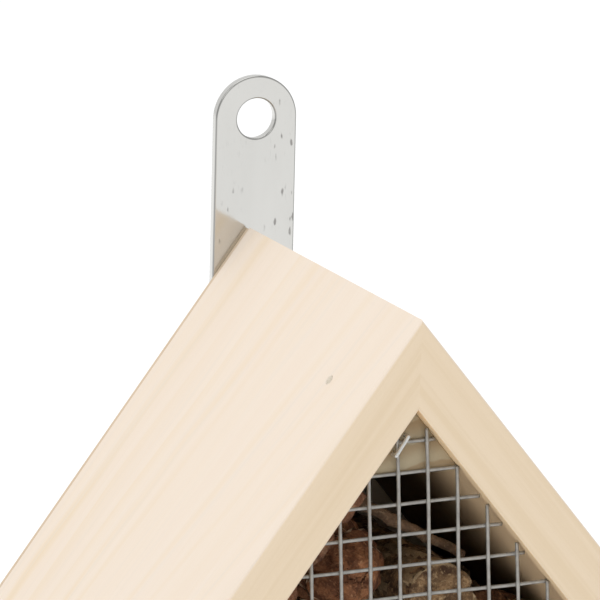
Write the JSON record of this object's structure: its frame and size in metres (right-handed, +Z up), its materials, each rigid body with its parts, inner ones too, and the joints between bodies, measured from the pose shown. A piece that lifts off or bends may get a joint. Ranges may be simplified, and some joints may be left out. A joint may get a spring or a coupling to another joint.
{
  "type": "insect hotel",
  "caption": "House-shaped bare pine insect hotel with a steep roof, steel hanger strap, wire mesh gable full of cones and bark, bamboo tubes and drilled logs.",
  "frame": {"origin": "bottom centre of the whole object's bounding box, on the underside of the base board", "axes": "+Z up, +X to the right seen from the front, +Y from the meshed front to the back panel"},
  "size_m": [0.1594, 0.0982, 0.2448],
  "materials": {
    "pine_board": "planed, bare",
    "block_wood": "sawn, bare",
    "back_board": "thin board, bare",
    "mesh_wire": "galvanised, satin",
    "staple_wire": "bright",
    "zinc_strap": "zinc plated, satin",
    "nail_steel": "satin",
    "cone_scale": "rough",
    "bark": "rough",
    "branch_wood": "rough",
    "twig_wood": "rough",
    "log_wood": "sawn",
    "bamboo": "satin"
  },
  "bodies": {
    "root": {"apex_block": "block_wood", "apex_nails": "nail_steel", "attic_shelf": "pine_board", "back_panel": "back_board", "bamboo_tube_1": "bamboo", "bamboo_tube_10": "bamboo", "bamboo_tube_11": "bamboo", "bamboo_tube_12": "bamboo", "bamboo_tube_13": "bamboo", "bamboo_tube_14": "bamboo", "bamboo_tube_15": "bamboo", "bamboo_tube_2": "bamboo", "bamboo_tube_3": "bamboo", "bamboo_tube_4": "bamboo", "bamboo_tube_5": "bamboo", "bamboo_tube_6": "bamboo", "bamboo_tube_7": "bamboo", "bamboo_tube_8": "bamboo", "bamboo_tube_9": "bamboo", "bark_slab": "bark", "base_board": "pine_board", "branch_piece": "branch_wood", "corner_stick_1": "branch_wood", "corner_stick_2": "branch_wood", "divider": "pine_board", "drilled_log_1": "log_wood", "drilled_log_2": "log_wood", "frame_nails": "nail_steel", "hanger_screws": "nail_steel", "hanger_strap": "zinc_strap", "left_corner_block": "block_wood", "left_roof_board": "pine_board", "left_wall": "pine_board", "mesh_staples": "staple_wire", "panel_nails": "nail_steel", "pine_cone_1": "cone_scale", "pine_cone_2": "cone_scale", "pine_cone_3": "cone_scale", "pine_cone_4": "cone_scale", "pine_cone_5": "cone_scale", "pine_cone_6": "cone_scale", "right_corner_block": "block_wood", "right_roof_board": "pine_board", "right_wall": "pine_board", "twig_1": "twig_wood", "twig_2": "twig_wood", "wire_mesh": "mesh_wire"}
  },
  "joints": []
}
